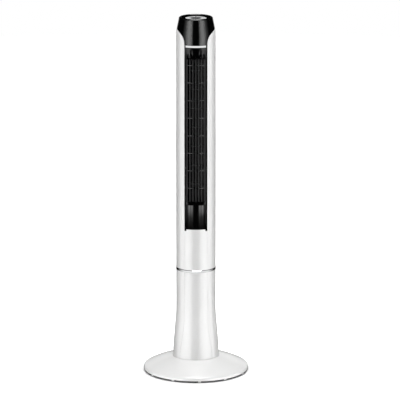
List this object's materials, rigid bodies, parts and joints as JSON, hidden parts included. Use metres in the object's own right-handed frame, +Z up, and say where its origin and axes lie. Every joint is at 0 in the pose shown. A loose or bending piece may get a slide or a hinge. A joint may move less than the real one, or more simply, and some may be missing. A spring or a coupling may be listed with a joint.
{
  "type": "tower fan",
  "caption": "Tower fan on a round weighted base: slim white head with a black slatted air outlet, swinging on its pedestal, with touch keys on top and a cross-flow impeller inside.",
  "frame": {"origin": "on the floor under the centre of the base, on the tower's axis", "axes": "+Z up along the tower, -Y is the front with the air outlet, +X to the right seen from the front"},
  "size_m": [0.34, 0.34, 1.165],
  "materials": {
    "white_shell": "white gloss moulded shell",
    "black_gloss": "black high-gloss plastic",
    "bright_trim": "bright plated trim",
    "silver_key": "silver satin paint",
    "dark_lens": "dark display window",
    "black_matte": "fine textured black moulding",
    "grey_plastic": "grey moulded inner part",
    "steel": "zinc plated steel",
    "dark_plate": "black powder coat",
    "iron": "cast iron",
    "rubber": "black rubber",
    "white_nylon": "natural nylon",
    "brass": "sintered bearing metal",
    "circuit_board": "green circuit board",
    "copper_winding": "laminated core with windings"
  },
  "bodies": {
    "stand": {"base_cover": "white_shell", "base_plate": "dark_plate", "base_weight": "iron", "foot_pads": "rubber", "base_screws": "steel", "weight_screws": "steel", "cord_gland": "black_matte", "pedestal_shell": "white_shell", "pedestal_front_panel": "white_shell", "pedestal_screws": "steel", "column": "dark_plate", "column_screws": "steel", "pivot_housing": "grey_plastic", "pivot_screws": "steel", "fixed_gear": "white_nylon", "thrust_washer": "white_nylon", "trim_ring": "bright_trim"},
    "impeller": {"impeller": "black_matte", "impeller_coupling": "rubber", "motor_shaft": "steel", "motor_rotor": "steel", "stub_shaft": "steel"},
    "pinion": {"drive_pinion": "white_nylon"},
    "key_back_right": {"key_back_right": "silver_key"},
    "key_back_left": {"key_back_left": "silver_key"},
    "key_front_left": {"key_front_left": "silver_key"},
    "key_front_right": {"key_front_right": "silver_key"},
    "head": {"bearing_bush": "brass", "bearing_plate": "grey_plastic", "bearing_rubber": "rubber", "board_parts": "black_matte", "control_board": "circuit_board", "control_board_screws": "steel", "control_panel": "black_gloss", "display_lens": "dark_lens", "front_grille": "black_gloss", "front_shell": "white_shell", "head_cap": "black_gloss", "hub_retainer": "steel", "key_switches": "black_matte", "lower_black_panel": "black_gloss", "lower_front_panel": "white_shell", "main_board": "circuit_board", "motor_bracket": "grey_plastic", "motor_can": "steel", "motor_screws": "steel", "motor_stator": "copper_winding", "rear_grille": "black_matte", "rear_shell": "white_shell", "retainer_screws": "steel", "scroll_wall": "black_matte", "shell_screws": "steel", "swing_motor": "steel", "swing_motor_screws": "steel", "tongue_wall": "black_matte", "trim_bar": "bright_trim", "turntable": "grey_plastic", "turntable_screws": "steel"}
  },
  "joints": [
    {"name": "head_swing", "type": "hinge", "parent": "stand", "child": "head", "pos_m": [0, 0, 0.3335], "axis": [0, 0, 1], "range_deg": [-40, 40]},
    {"name": "impeller_spin", "type": "hinge", "parent": "head", "child": "impeller", "pos_m": [0, 0.008, 0.56], "axis": [0, 0, 1], "continuous": true},
    {"name": "pinion_spin", "type": "hinge", "parent": "head", "child": "pinion", "pos_m": [0, 0.0375, 0.3375], "axis": [0, 0, 1], "range_deg": [-165, 165]},
    {"name": "key_back_right_press", "type": "slide", "parent": "head", "child": "key_back_right", "axis": [0, 0, -1], "range_m": [0, 0.0008], "stiffness_N_per_m": 900},
    {"name": "key_back_left_press", "type": "slide", "parent": "head", "child": "key_back_left", "axis": [0, 0, -1], "range_m": [0, 0.0008], "stiffness_N_per_m": 900},
    {"name": "key_front_left_press", "type": "slide", "parent": "head", "child": "key_front_left", "axis": [0, 0, -1], "range_m": [0, 0.0008], "stiffness_N_per_m": 900},
    {"name": "key_front_right_press", "type": "slide", "parent": "head", "child": "key_front_right", "axis": [0, 0, -1], "range_m": [0, 0.0008], "stiffness_N_per_m": 900}
  ],
  "couplings": [
    {"joint": "pinion_spin", "follows": "head_swing", "ratio": 4}
  ]
}
